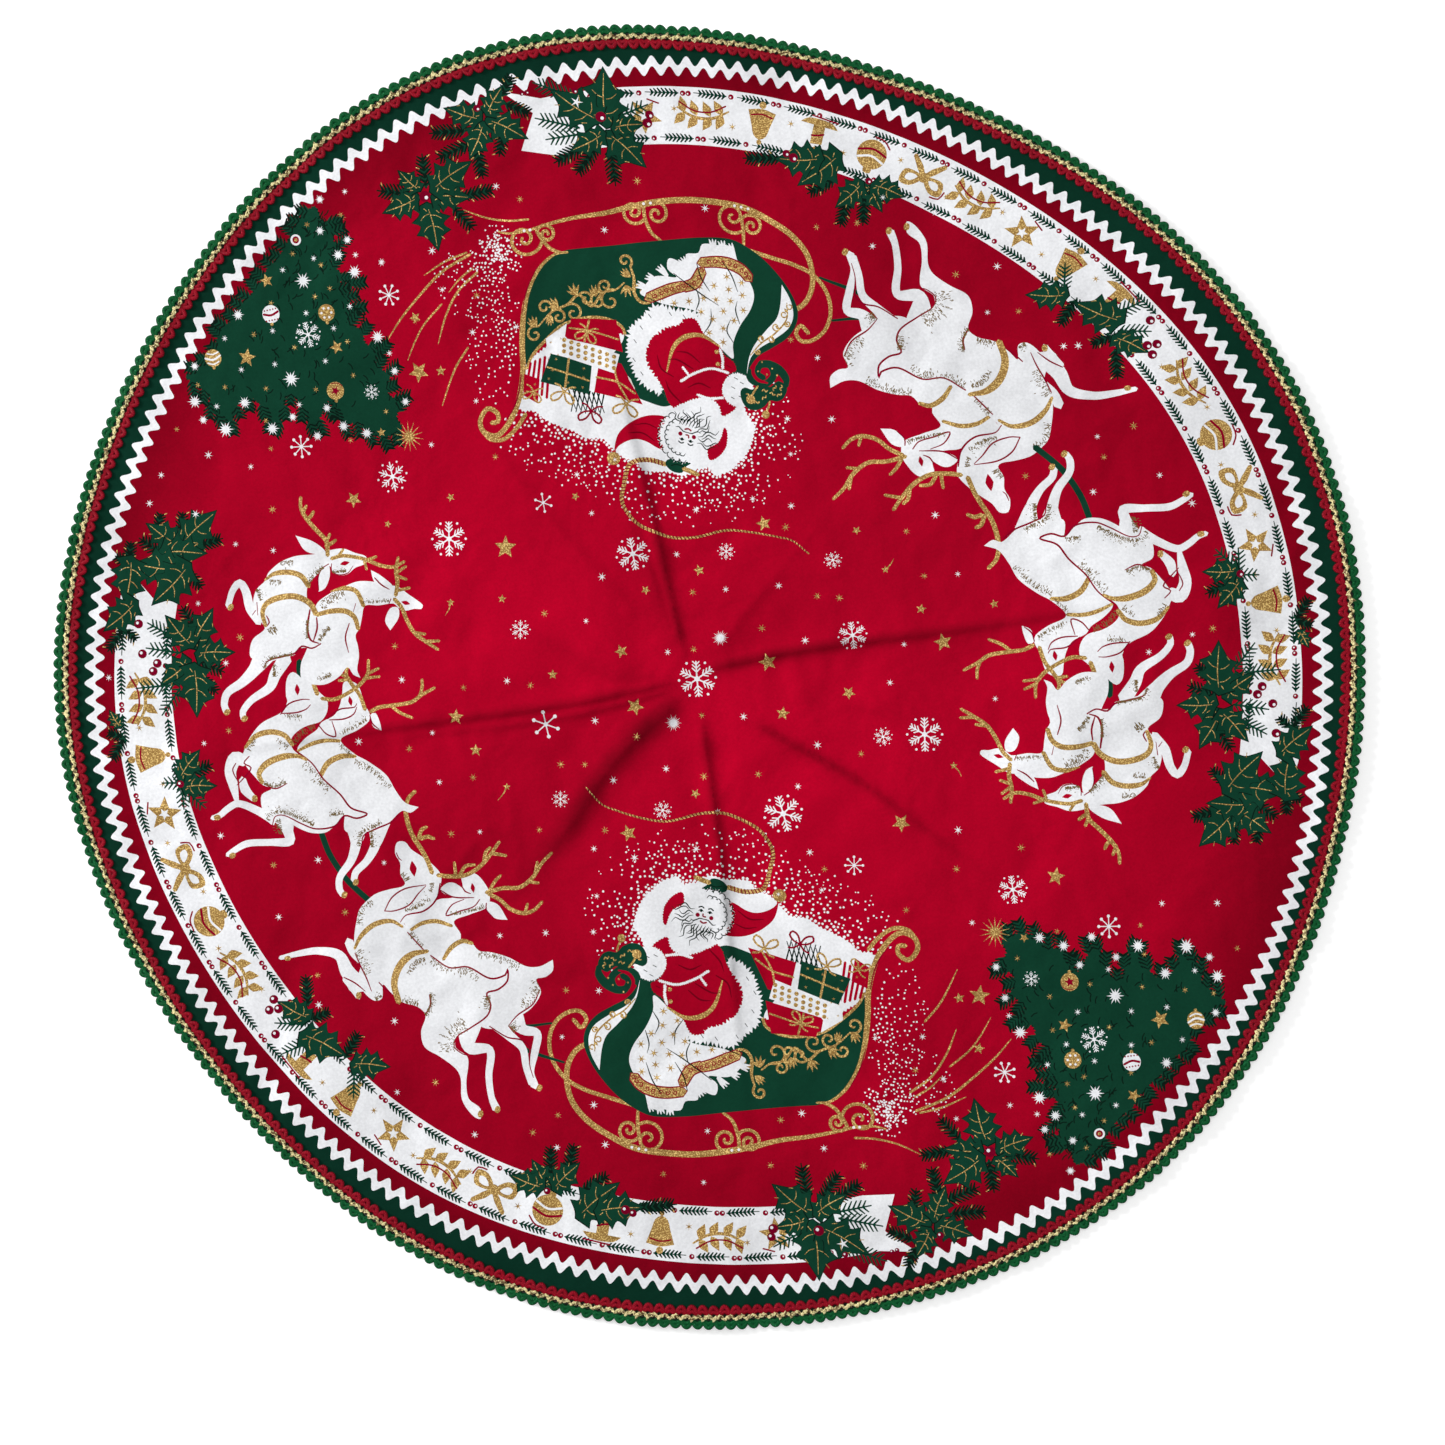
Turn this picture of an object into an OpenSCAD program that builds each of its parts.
// Round cloth tree skirt with a printed face, a plain backing and a looped braid sewn round its rim.
// The cloth lies flat on the XY plane with its printed face up. Its storage crease lies along X, and
// the far half (+Y) folds up and over onto the near half (-Y) about that crease.

/* [Cloth] */
// Radius of the printed face panel and of its backing
panel_r = 553.5; // [400:0.5:700]
// Thickness of the backing cloth
backing_t = 0.6; // [0.5:0.1:1.2]
// Thickness of the printed face cloth
face_t = 0.6; // [0.4:0.1:1.2]

/* [Braid] */
// Width of the whole braid, from the tips of the red loops to the tips of the green loops
braid_w = 21.5; // [19:0.5:28]
// How far the green loops reach past the edge of the cloth
overhang = 6.5; // [4:0.5:8]
// Height of the braid above the printed face
braid_t = 2; // [1.6:0.1:3]
// Number of loops on each half of the rim
loops_per_half = 182; // [120:1:220]
// How deep the valleys between neighbouring loops are
loop_depth = 3.4; // [2:0.1:4]

/* [Sewing] */
// Width of a sewing thread lying on the cloth
thread_w = 0.5; // [0.3:0.1:0.8]
// Thickness of a sewing thread lying on the cloth
thread_t = 0.3; // [0.2:0.05:0.4]
// Number of whip stitches that close the join in the braid
tack_count = 4; // [2:1:8]
// Where the braid's two ends meet, in degrees from +X
join_angle = -5; // [-60:1:-2]

/* [Fold] */
// Width of the gap left at the crease between the two halves
crease_gap = 1; // [0.6:0.1:2]

/* [Hidden] */

// Heights of the layers, counted from the floor
face_z = backing_t;
braid_z = face_z + face_t;
core_t = 0.35 * braid_t;
top_z = braid_z + braid_t;

// Rings of the braid, from the centre outwards, with a hairline between neighbours
hairline = 0.2;
rim_r = panel_r + overhang;
red_r = rim_r - braid_w;
core_r = red_r + 0.38 * braid_w;
core_w = 0.25 * braid_w;
green_r = core_r + core_w + hairline;
stitch_r = core_r + core_w - 1.6 * thread_w;
gold_w = core_w - 3 * thread_w;
bobbin_r = stitch_r;

// The ends of each half ring stop short of the crease by this angle
seam_angle = asin(crease_gap / 2 / red_r);
half_turn = 180 - 2 * seam_angle;
points_per_loop = 6;
smooth = 240;

// Puts a shape drawn on the +Y side onto the far half (side 1) or the near half (side -1).
module on_side(side) {
    mirror([0, side < 0 ? 1 : 0, 0]) children();
}

// Half disc of cloth from the crease outwards.
module half_disc(radius, thickness) {
    linear_extrude(thickness) intersection() {
        circle(r = radius, $fn = smooth);
        translate([-radius, crease_gap / 2]) square([2 * radius, radius]);
    }
}

// Half ring of rectangular section.
module half_ring(inner_r, width, base_z, thickness) {
    rotate([0, 0, seam_angle])
        rotate_extrude(angle = half_turn, $fn = smooth)
            translate([inner_r, base_z]) square([width, thickness]);
}

function polar(radius, angle) = [radius * cos(angle), radius * sin(angle)];

// Round scallop profile: 0 in the valleys between loops and 1 at the middle of each loop.
function scallop(share) = sqrt(max(0, 1 - pow(2 * (share - floor(share)) - 1, 2)));

// Half ring of looped cord with one smooth edge and one scalloped edge.
module looped_half_ring(smooth_r, valley_r, tip_r, base_z, thickness) {
    steps = loops_per_half * points_per_loop;
    looped_edge = [for (k = [0:steps])
        polar(valley_r + (tip_r - valley_r) * scallop(k / points_per_loop),
              seam_angle + half_turn * k / steps)];
    smooth_edge = [for (k = [smooth / 2:-1:0])
        polar(smooth_r, seam_angle + half_turn * k / (smooth / 2))];
    translate([0, 0, base_z])
        linear_extrude(thickness) polygon(concat(looped_edge, smooth_edge));
}

module backing(side) {
    color("whitesmoke") on_side(side) difference() {
        half_disc(panel_r, backing_t);
        half_ring(bobbin_r, thread_w, -1, thread_t + 1);
    }
}

module face_panel(side) {
    color("crimson") on_side(side)
        translate([0, 0, face_z]) half_disc(panel_r, face_t);
}

module braid_core(side) {
    color("darkolivegreen") on_side(side) half_ring(core_r, core_w, braid_z, core_t);
}

module red_loops(side) {
    color("firebrick") on_side(side)
        looped_half_ring(core_r - hairline, red_r + loop_depth, red_r, braid_z, braid_t);
}

module gold_cord(side) {
    color("gold") on_side(side)
        half_ring(core_r, gold_w, braid_z + core_t, braid_t - core_t);
}

module green_loops(side) {
    color("darkgreen") on_side(side)
        looped_half_ring(green_r, rim_r - loop_depth, rim_r, braid_z, braid_t);
}

// The upper thread of the lockstitch lies on the braid's core, beside the gold cord.
module needle_thread(side) {
    color("goldenrod") on_side(side)
        half_ring(stitch_r, thread_w, braid_z + core_t, thread_t);
}

// The lower thread of the lockstitch is pulled flush into the backing.
module bobbin_thread(side) {
    color("white") on_side(side) half_ring(bobbin_r, thread_w, 0, thread_t);
}

// Whip stitches across the braid, where its two ends are butted together.
module join_stitches() {
    stitch_pitch = 2.4 * thread_w;
    stitch_len = braid_w - 2 * loop_depth;
    color("darkgreen") rotate([0, 0, join_angle])
        for (i = [0:tack_count - 1])
            translate([red_r + loop_depth, (i - (tack_count - 1) / 2) * stitch_pitch, top_z])
                cube([stitch_len, thread_w, thread_t]);
}

backing(-1);  // near_backing
backing(1);  // far_backing
face_panel(-1);  // near_face_panel
face_panel(1);  // far_face_panel
braid_core(-1);  // near_braid_core
braid_core(1);  // far_braid_core
red_loops(-1);  // near_red_loops
red_loops(1);  // far_red_loops
gold_cord(-1);  // near_gold_cord
gold_cord(1);  // far_gold_cord
green_loops(-1);  // near_green_loops
green_loops(1);  // far_green_loops
needle_thread(-1);  // near_needle_thread
needle_thread(1);  // far_needle_thread
bobbin_thread(-1);  // near_bobbin_thread
bobbin_thread(1);  // far_bobbin_thread
join_stitches();  // braid_join_stitches
